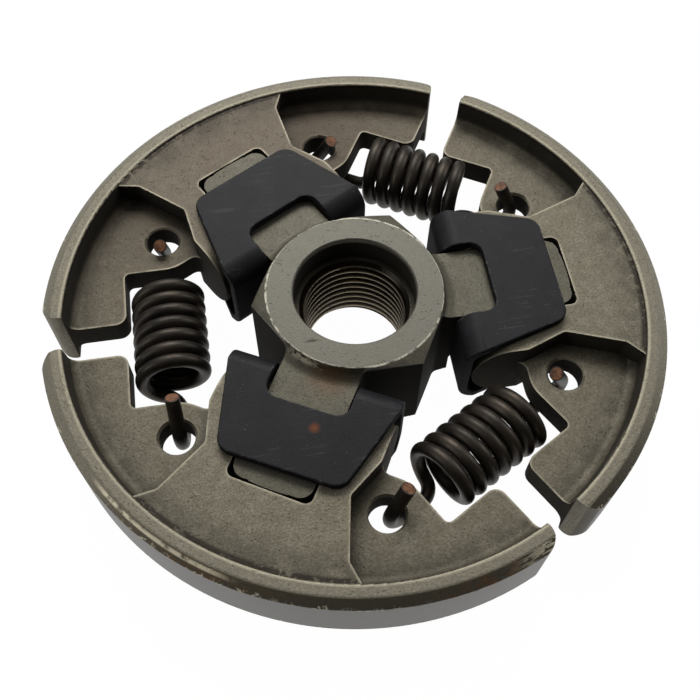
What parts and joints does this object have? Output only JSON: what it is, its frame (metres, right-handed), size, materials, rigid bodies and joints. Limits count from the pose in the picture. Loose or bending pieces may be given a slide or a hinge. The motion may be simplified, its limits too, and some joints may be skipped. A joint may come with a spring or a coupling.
{
  "type": "centrifugal clutch",
  "caption": "Centrifugal clutch of a chainsaw: T-section shoes slide out on the arms of a hexagonal screw-on boss, held in by hooked coil springs and clasped by bent sheet retainers.",
  "frame": {"origin": "on the crankshaft's axis, at the boss's bottom face", "axes": "+Z along the crankshaft's axis, out of the boss's face with the counterbore; +X along the first arm"},
  "size_m": [0.0658, 0.066, 0.013],
  "materials": {
    "hub_steel": "fine-grained, machined, slightly dulled",
    "shoe_iron": "sintered, speckled, matt",
    "retainer_sheet": "dark, satin, with fine scratches",
    "spring_wire": "black-brown wire, coppery at the cut ends"
  },
  "bodies": {
    "carrier": {"carrier": "hub_steel", "spring_1": "spring_wire", "spring_2": "spring_wire", "spring_3": "spring_wire"},
    "shoe_1": {"shoe_1": "shoe_iron", "retainer_1": "retainer_sheet"},
    "shoe_2": {"shoe_2": "shoe_iron", "retainer_2": "retainer_sheet"},
    "shoe_3": {"shoe_3": "shoe_iron", "retainer_3": "retainer_sheet"}
  },
  "joints": [
    {"name": "shoe_1_slide", "type": "slide", "parent": "carrier", "child": "shoe_1", "axis": [1, 0, 0], "range_m": [0, 0.0011], "stiffness_N_per_m": 2000, "springref_m": -0.002, "deforming": ["spring_1", "spring_3"]},
    {"name": "shoe_2_slide", "type": "slide", "parent": "carrier", "child": "shoe_2", "axis": [-0.5, 0.866, 0], "range_m": [0, 0.0011], "stiffness_N_per_m": 2000, "springref_m": -0.002, "deforming": ["spring_2"]},
    {"name": "shoe_3_slide", "type": "slide", "parent": "carrier", "child": "shoe_3", "axis": [-0.5, -0.866, 0], "range_m": [0, 0.0011], "stiffness_N_per_m": 2000, "springref_m": -0.002}
  ]
}
